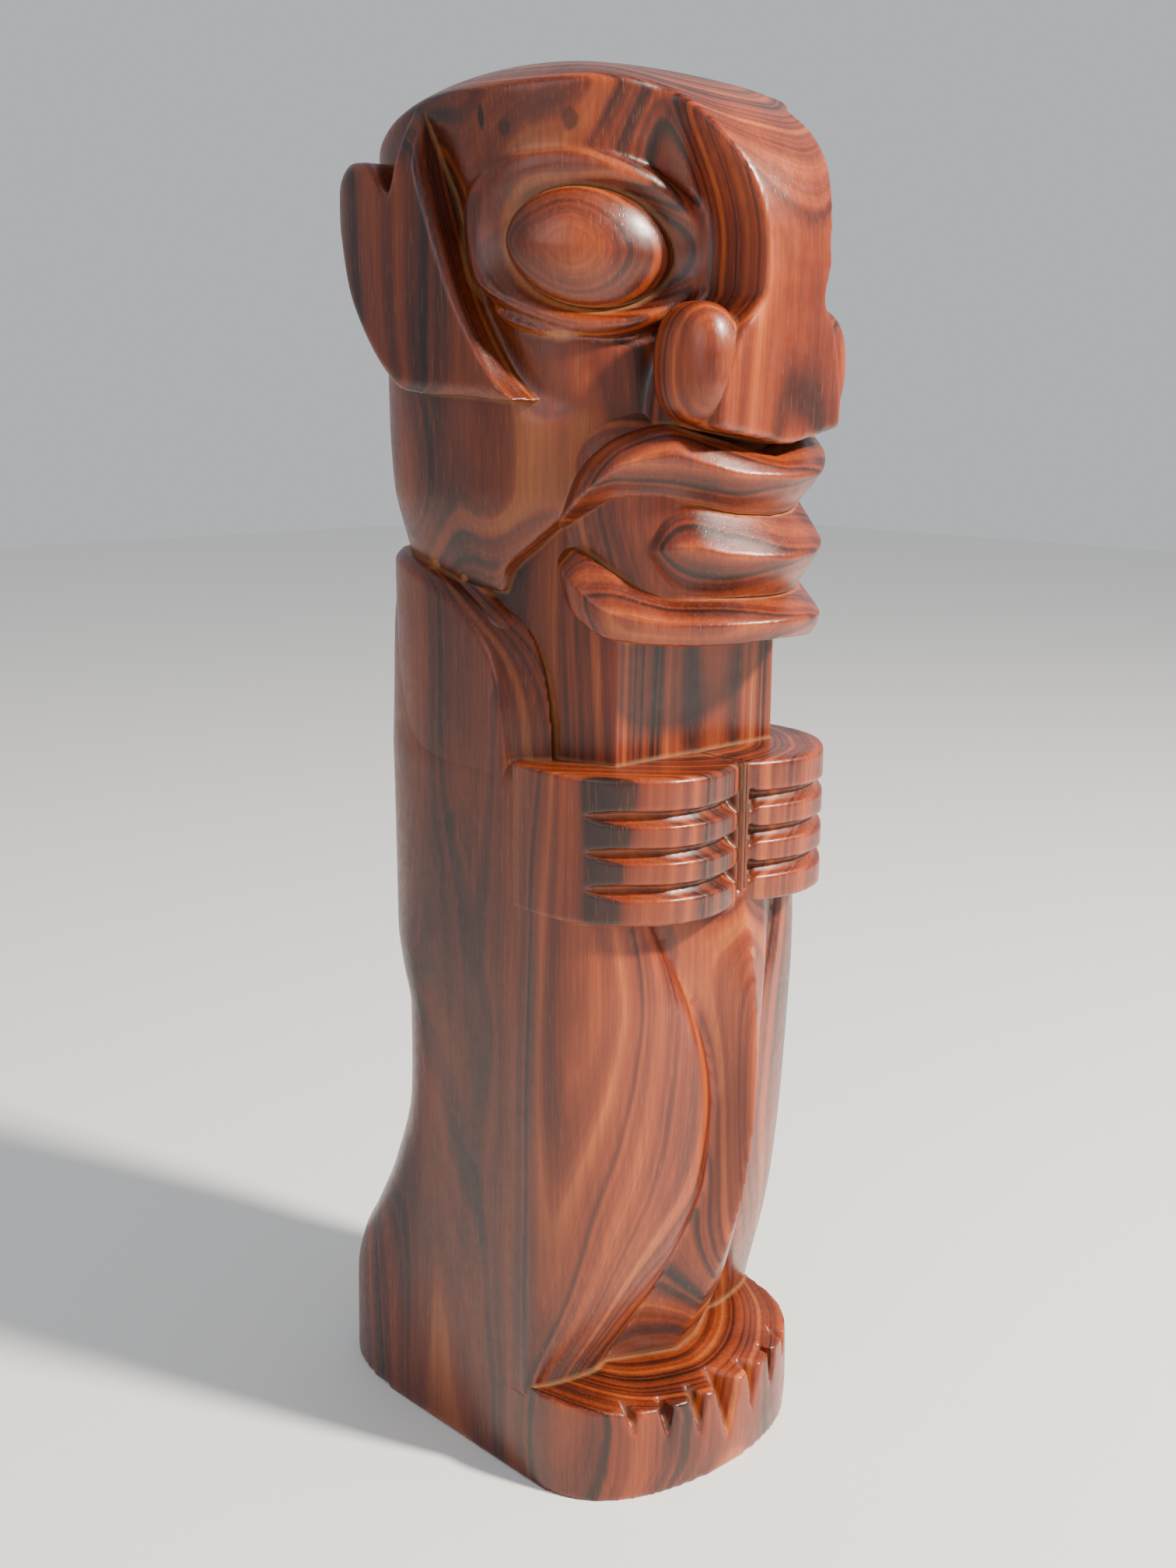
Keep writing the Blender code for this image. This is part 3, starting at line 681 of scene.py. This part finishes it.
# Band round the muzzle, drawn by its edges and its cross-section.
def lip(spec, top, ridge, low, profile, reach, bulb):
    shape = spec[profile]
    count = len(shape)
    shares = [(k, shape[k % count][0]) for k in range(count + 1)]
    depths = [(k, shape[k % count][1]) for k in range(count + 1)]

    def place(across, up):
        turn = -reach + 2 * reach * up
        a = np.abs(turn)
        upper, crest, lower = read(spec[top], a), read(spec[ridge], a), read(spec[low], a)
        i = across * count
        share = np.interp(i, [s[0] for s in shares], [s[1] for s in shares])
        depth = np.interp(i, [s[0] for s in depths], [s[1] for s in depths])
        tall = np.where(share >= 0, upper - crest, crest - lower)
        z = crest + tall * share
        end = np.clip((a - (reach - bulb)) / bulb, 0, 1)
        shut = np.sqrt(np.clip(1 - end ** 2, 0, 1))
        z = crest + (z - crest) * (0.10 + 0.90 * shut)
        full = depth * read(spec["closing"], a)
        deep = spec["root"] + (full - spec["root"]) * (0.25 + 0.75 * shut)
        x, y = rim(turn, deep * spec["slim"] + spec["extra"], deep)
        return x, y, z
    return skin("lip", 60, 160, place)


# the drawing is 155 deep to the brow, and the log is 137.5
logDepth = {"sweep": 0.1116, "middle": 15 * mm, "scale": 137.5 / 155}


# Flatten the drawing to the log's true depth and sweep its sides back.
def bow(thing):
    flat = np.empty(len(thing.data.vertices) * 3)
    thing.data.vertices.foreach_get("co", flat)
    p = flat.reshape(-1, 3)
    middle = logDepth["middle"]
    wide = np.hypot(p[:, 0], middle) - middle
    p[:, 1] = (p[:, 1] + logDepth["sweep"] * wide) * logDepth["scale"]
    thing.data.vertices.foreach_set("co", p.ravel())
    thing.data.update()


# Close the form at an even grain, then sand it.
def settle(thing, spec, rub):
    bow(thing)
    fine = spec["voxel"] * 1.0
    finishWith(thing, "REMESH", mode="VOXEL", voxel_size=fine * mm)
    finishWith(thing, "SMOOTH", factor=0.5, iterations=rub)
    return thing


pieces = []


def keep(thing, name, *nodes):
    thing.name = name
    thing.data.name = name
    pieces.append((thing, nodes))


def keepPair(right, name, node):
    left = mirrored(right)
    keep(right, "right" + name, "right_" + node)
    keep(left, "left" + name, "left_" + node)


right = thigh(body)
left = mirrored(right)
# the left thigh was cut a little deeper than the right
left.data.transform(Matrix.Translation((-2.0 * mm, 5.0 * mm, 0)))
log = joined("logBody", [logSkin("trunk", body["sections"], 160, 120), right, left,
                         keel(body)])
keep(settle(log, body, 4), "logBody", "trunk", "right_thigh", "left_thigh", "belly_keel")
keep(settle(footPlatform(foot), foot, 2), "footPlatform", "foot_platform")
keepPair(settle(arm(arms), arms, 4), "Arm", "arm")
post = prism("neck", neck["outline"], "z", neck["low"], neck["high"])
keep(settle(post, neck, 2), "neckPost", "neck")
print("tiki: body shaped")

keepPair(settle(hand(hands), hands, 3), "Hand", "hand")
bar = prism("strip", strip["outline"], "z", strip["low"], strip["high"])
keep(settle(bar, strip, 1), "handStrip", "hand_strip")
print("tiki: hands shaped")

keep(settle(headBlock(head), head, 3), "headBlock",
     "head_core", "nose_ridge", "brow_cap", "right_eye_rim", "left_eye_rim")
keepPair(settle(eyeball(eyes), eyes, 3), "Eyeball", "eyeball")
keepPair(settle(nostril(nose), nose, 2), "Nostril", "nostril")
keepPair(settle(earFlap(ear), ear, 3), "Ear", "ear")
print("tiki: head shaped")

muzzle = logSkin("muzzle", mouth["muzzle"], 96, 40)
keep(settle(muzzle, mouth, 3), "jawBlock", "jaw")
for name, node, *drawing in mouth["lips"]:
    keep(settle(lip(mouth, *drawing), mouth, 3), name, node)
print("tiki: mouth shaped")


# Dust gathers where a surface faces another close by; edges are rubbed.
def meshPoints(mesh, what):
    flat = np.empty(len(mesh.vertices) * 3)
    mesh.vertices.foreach_get(what, flat)
    return flat.reshape(-1, 3)


def wholeTree():
    corners, faces, start = [], [], 0
    for thing, _ in pieces:
        mesh = thing.data
        corners.append(meshPoints(mesh, "co"))
        mesh.calc_loop_triangles()
        flat = np.empty(len(mesh.loop_triangles) * 3, dtype=np.int64)
        mesh.loop_triangles.foreach_get("vertices", flat)
        faces.append(flat.reshape(-1, 3) + start)
        start += len(mesh.vertices)
    corners, faces = np.concatenate(corners), np.concatenate(faces)
    return BVHTree.FromPolygons(corners.tolist(), faces.tolist())


marks = {"lift": 3.2 * mm, "proud": 0.35 * mm, "rounds": 10}


def markSurface(spec, thing, tree):
    mesh = thing.data
    count = len(mesh.vertices)
    points, normals = meshPoints(mesh, "co"), meshPoints(mesh, "normal")
    ends = np.empty(len(mesh.edges) * 2, dtype=np.int64)
    mesh.edges.foreach_get("vertices", ends)
    a, b = ends[0::2], ends[1::2]
    degree = np.bincount(a, minlength=count) + np.bincount(b, minlength=count)

    def spread(values):
        out = np.empty_like(values)
        for k in range(values.shape[1]):
            out[:, k] = (np.bincount(a, values[b, k], count)
                         + np.bincount(b, values[a, k], count)) / degree
        return out
    near = points
    for _ in range(spec["rounds"]):
        near = 0.5 * near + 0.5 * spread(near)
    proud = ((points - near) * normals).sum(1)
    probes = points + normals * spec["lift"]
    gaps = np.array([tree.find_nearest(p)[3] for p in probes.tolist()])
    for label, values in [("crease", 1 - gaps / spec["lift"]), ("edge", proud / spec["proud"])]:
        data = mesh.attributes.new(label, "FLOAT", "POINT")
        data.data.foreach_set("value", np.clip(values, 0, 1).astype(np.float32))


nearby = wholeTree()
for thing, _ in pieces:
    markSurface(marks, thing, nearby)
print("tiki: creases marked,", sum(len(t.data.polygons) for t, _ in pieces), "faces")


def linear(hexColour):
    out = []
    for k in (0, 2, 4):
        c = int(hexColour[k:k + 2], 16) / 255
        out.append(c / 12.92 if c <= 0.04045 else ((c + 0.055) / 1.055) ** 2.4)
    return (*out, 1.0)


# A node with its settings, and links by name or by socket number as i0, i1.
def node(tree, kind, settings=None, **links):
    made = tree.nodes.new(kind)
    for key, value in (settings or {}).items():
        if isinstance(key, str) and hasattr(made, key) and key not in made.inputs:
            setattr(made, key, value)
        else:
            made.inputs[key].default_value = value
    for key, source in links.items():
        numbered = key[0] == "i" and key[1:].isdigit()
        socket = made.inputs[int(key[1:])] if numbered else made.inputs[key]
        tree.links.new(source, socket)
    return made


def noise(tree, place, scale, detail, rough):
    settings = {"Scale": scale, "Detail": detail, "Roughness": rough}
    return node(tree, "ShaderNodeTexNoise", settings, i0=place)


# Noise along the distance from the pith, which makes rings.
def ringNoise(tree, radius, scale, rough):
    settings = {"noise_dimensions": "1D", "Scale": scale, "Detail": 2.0, "Roughness": rough}
    return node(tree, "ShaderNodeTexNoise", settings, W=radius).outputs["Fac"]


def stretched(tree, place, scale):
    return node(tree, "ShaderNodeMapping", {"Scale": scale}, i0=place).outputs[0]


def mapped(tree, source, low, high, toLow, toHigh):
    settings = {1: low, 2: high, 3: toLow, 4: toHigh}
    return node(tree, "ShaderNodeMapRange", settings, i0=source).outputs[0]


def moved(tree, way, source, by):
    settings = {"operation": way, 1: by}
    return node(tree, "ShaderNodeVectorMath", settings, i0=source).outputs[0]


def lengthOf(tree, source):
    return node(tree, "ShaderNodeVectorMath", {"operation": "LENGTH"}, i0=source).outputs["Value"]


def scaled(tree, colour, factor):
    settings = {"operation": "SCALE"}
    return node(tree, "ShaderNodeVectorMath", settings, i0=colour, Scale=factor).outputs[0]


def added(tree, one, other):
    return node(tree, "ShaderNodeMath", {"operation": "ADD"}, i0=one, i1=other).outputs[0]


def times(tree, source, factor):
    settings = {"operation": "MULTIPLY", 1: factor}
    return node(tree, "ShaderNodeMath", settings, i0=source).outputs[0]


# Lay a colour over another surface where the amount is high.
def overlaid(tree, amount, under, colour):
    mix = node(tree, "ShaderNodeMix", {"data_type": "RGBA", 7: linear(colour)}, i0=amount, i6=under)
    return mix.outputs[2]


def attribute(tree, label):
    return node(tree, "ShaderNodeAttribute", {"attribute_name": label}).outputs["Fac"]


wood = {
    "dark": "170603", "brown": "391307", "red": "67240c", "orange": "8b3a12", "pale": "a85a26",
    # crackShade is painted shade, the near-black inside of cracks and holes
    "dust": "a8794f", "open": "a4673a", "crackShade": "0d0503", "filler": "a06a42",
    "stops": [(0.22, "brown"), (0.42, "red"), (0.72, "orange")],
    # how far the grain wavers, and where the pith stands, in metres
    "waver": (0.034, 0.034, 0.0), "pith": (0.006, 0.016, 0.0), "squash": (1.0, 0.80, 0.0),
    # along the log everything is drawn out
    "slow": (7.0, 7.0, 2.2), "dash": (900.0, 900.0, 60.0), "streak": (420.0, 420.0, 9.0),
    "ringScale": 420.0, "bandScale": 95.0,
    "poreAmount": 0.12, "dustAmount": 0.44, "dustRough": 0.45,
    "ior": 1.48, "coat": 0.12, "coatRough": 0.22,
    # place, half size in mm, how much of it shows, and what it is
    "spots": [
        ((-102, -9, 762), (2.2, 2.2, 7.5), 0.95, "crackShade"),
        ((-21, -89, 768), (1.8, 3.0, 6.0), 0.95, "crackShade"),
        ((-98, -22, 757), (4.0, 4.0, 5.0), 0.6, "crackShade"),
        ((-80, -52, 760), (4.5, 4.5, 6.0), 0.6, "crackShade"),
        ((-98, 26, 387), (4.0, 5.5, 9.0), 0.55, "crackShade"),
        ((-90, 50, 531), (6.0, 5.0, 3.0), 0.55, "filler"),
        ((-90, 25, 525), (5.0, 4.0, 3.0), 0.5, "filler"),
        ((3, -113, 322), (3.5, 6.0, 4.0), 0.5, "filler"),
        ((-106, 24, 673), (6.0, 2.5, 4.0), 0.5, "filler"),
    ],
}


# Oiled tropical heartwood: growth rings, dark streaks, fine pores, with painted shade on the flanks
# and in the cracks.
def polishedHeartwood(spec):
    material = bpy.data.materials.new("polishedHeartwood")
    material.use_nodes = True
    tree = material.node_tree
    tree.nodes.clear()
    out = tree.nodes.new("ShaderNodeOutputMaterial")
    shader = tree.nodes.new("ShaderNodeBsdfPrincipled")
    tree.links.new(shader.outputs[0], out.inputs[0])
    place = tree.nodes.new("ShaderNodeTexCoord").outputs["Object"]

    # slow waver of the grain, stretched along the log
    slow = stretched(tree, place, spec["slow"])
    waver = noise(tree, slow, 1.0, 2.0, 0.45).outputs["Color"]
    shift = moved(tree, "SUBTRACT", waver, (0.5, 0.5, 0.5))
    shift = moved(tree, "MULTIPLY", shift, spec["waver"])
    grown = node(tree, "ShaderNodeVectorMath", {"operation": "ADD"}, i0=place, i1=shift).outputs[0]
    # distance from the pith, which stands a little behind the middle
    flat = moved(tree, "MULTIPLY", grown, spec["squash"])
    radius = lengthOf(tree, moved(tree, "SUBTRACT", flat, spec["pith"]))

    # fine growth rings, gathered in dark bands
    fine = mapped(tree, ringNoise(tree, radius, spec["ringScale"], 0.6), 0.35, 0.68, -0.13, 0.13)
    bands = mapped(tree, ringNoise(tree, radius, spec["bandScale"], 0.55), 0.30, 0.70, 0.14, 0.78)
    patch = noise(tree, slow, 2.6, 2.0, 0.5).outputs["Fac"]
    patch = mapped(tree, patch, 0.3, 0.7, -0.18, 0.18)
    tone = added(tree, added(tree, bands, fine), patch)
    ramp = node(tree, "ShaderNodeValToRGB", i0=tone)
    stops = ramp.color_ramp.elements
    stops[0].position = 0.02
    stops[0].color = linear(spec["dark"])
    stops[1].position = 0.98
    stops[1].color = linear(spec["pale"])
    for position, key in spec["stops"]:
        stop = stops.new(position)
        stop.color = linear(spec[key])

    # painted shade: the flanks and the back are darker than the front of the log, standing in for
    # the shade away from the front light
    split = node(tree, "ShaderNodeSeparateXYZ", i0=grown)
    behind = mapped(tree, split.outputs[1], -0.095, -0.035, 1.0, 0.52)
    paintedFlankShade = scaled(tree, ramp.outputs[0], behind)

    # pores: vertical dashes under a millimetre wide and 5 to 15 mm long
    pores = noise(tree, stretched(tree, place, spec["dash"]), 1.0, 1.0, 0.5).outputs["Fac"]
    poreMask = mapped(tree, pores, 0.62, 0.72, 0.0, 1.0)
    grain = noise(tree, stretched(tree, place, spec["streak"]), 1.0, 2.0, 0.55).outputs["Fac"]
    grained = scaled(tree, paintedFlankShade, mapped(tree, grain, 0.3, 0.7, 0.80, 1.18))
    poreAmount = times(tree, poreMask, spec["poreAmount"])
    surface = overlaid(tree, poreAmount, grained, spec["open"])

    # painted shade: near-black spots stand for the dark inside of short cracks and holes, which are
    # not carved; pale spots are the plugs the carver let in
    fray = times(tree, noise(tree, place, 260.0, 2.0, 0.6).outputs["Fac"], 0.55)
    for centre, half, amount, kind in spec["spots"]:
        local = moved(tree, "SUBTRACT", place, tuple(c * mm for c in centre))
        local = moved(tree, "MULTIPLY", local, tuple(1 / (h * mm) for h in half))
        reach = added(tree, lengthOf(tree, local), fray)
        shown = mapped(tree, reach, 1.0, 1.35, amount, 0.0)
        surface = overlaid(tree, shown, surface, spec[kind])

    # dust that polish and rain leave in the creases
    speckle = noise(tree, place, 160.0, 3.0, 0.6).outputs["Fac"]
    ragged = {"operation": "MULTIPLY_ADD", 1: 0.5, 2: -0.25}
    ragged = node(tree, "ShaderNodeMath", ragged, i0=speckle).outputs[0]
    dust = added(tree, attribute(tree, "crease"), ragged)
    dust = mapped(tree, dust, 0.22, 1.05, 0.0, spec["dustAmount"])
    surface = overlaid(tree, dust, surface, spec["dust"])

    # hollows stay darker, rubbed edges are lighter
    rubbed = mapped(tree, attribute(tree, "edge"), 0.0, 1.0, 0.96, 1.20)
    tree.links.new(scaled(tree, surface, rubbed), shader.inputs["Base Color"])

    # satin polish, duller in dust and along the open grain
    rough = mapped(tree, speckle, 0.3, 0.7, 0.30, 0.42)
    duller = {"operation": "MULTIPLY_ADD", 1: spec["dustRough"]}
    rough = node(tree, "ShaderNodeMath", duller, i0=dust, i2=rough).outputs[0]
    tree.links.new(rough, shader.inputs["Roughness"])
    shader.inputs["IOR"].default_value = spec["ior"]
    shader.inputs["Coat Weight"].default_value = spec["coat"]
    shader.inputs["Coat Roughness"].default_value = spec["coatRough"]

    # tool marks a few tenths of a millimetre deep, and the open pores
    ripple = noise(tree, place, 55.0, 2.0, 0.5).outputs["Fac"]
    chisel = {"Strength": 0.25, "Distance": 0.0012}
    chisel = node(tree, "ShaderNodeBump", chisel, Height=ripple).outputs[0]
    pits = {"Strength": 0.18, "Distance": 0.0003, "invert": True}
    pits = node(tree, "ShaderNodeBump", pits, Height=poreMask, Normal=chisel).outputs[0]
    tree.links.new(pits, shader.inputs["Normal"])
    return material


heartwood = polishedHeartwood(wood)
print("tiki: wood mixed")


def closePiece(thing, nodes):
    thing.data.materials.clear()
    thing.data.materials.append(heartwood)
    thing.data.shade_smooth()
    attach(thing, "root")
    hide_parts(*nodes)


for thing, nodes in pieces:
    closePiece(thing, nodes)


studio = {
    "floor": "ecebe8", "floorSize": 12, "floorRough": 0.8,
    "sky": (0.92, 0.95, 1.0), "skyStrength": 0.60,
    # name, place, where it points, size, watts, colour
    "lamps": [
        ("key", (0.75, -2.1, 2.35), (0, 0, 0.42), 0.30, 270, (1.0, 0.93, 0.83)),
        ("fill", (-2.4, -0.6, 1.5), (0, 0, 0.4), 1.8, 14, (0.92, 0.95, 1.0))],
}


def studioSet(spec):
    bpy.ops.object.select_all(action="DESELECT")
    bpy.ops.mesh.primitive_plane_add(size=spec["floorSize"])
    floor = bpy.context.object
    floor.name = "studioFloor"
    paint = bpy.data.materials.new("palePlaster")
    paint.use_nodes = True
    shader = paint.node_tree.nodes["Principled BSDF"]
    shader.inputs["Base Color"].default_value = linear(spec["floor"])
    shader.inputs["Roughness"].default_value = spec["floorRough"]
    floor.data.materials.append(paint)
    world = bpy.data.worlds.new("studio")
    bpy.context.scene.world = world
    world.use_nodes = True
    back = world.node_tree.nodes["Background"]
    back.inputs["Color"].default_value = (*spec["sky"], 1.0)
    back.inputs["Strength"].default_value = spec["skyStrength"]


def lamp(name, place, aim, size, watts, colour):
    data = bpy.data.lights.new(name, "AREA")
    data.shape = "DISK"
    data.size = size
    data.energy = watts
    data.color = colour
    thing = bpy.data.objects.new(name, data)
    bpy.context.scene.collection.objects.link(thing)
    thing.location = place
    direction = np.array(aim) - np.array(place)
    thing.rotation_euler = Vector(direction).to_track_quat("-Z", "Y").to_euler()


studioSet(studio)
for settings in studio["lamps"]:
    lamp(*settings)

print("tiki: done")
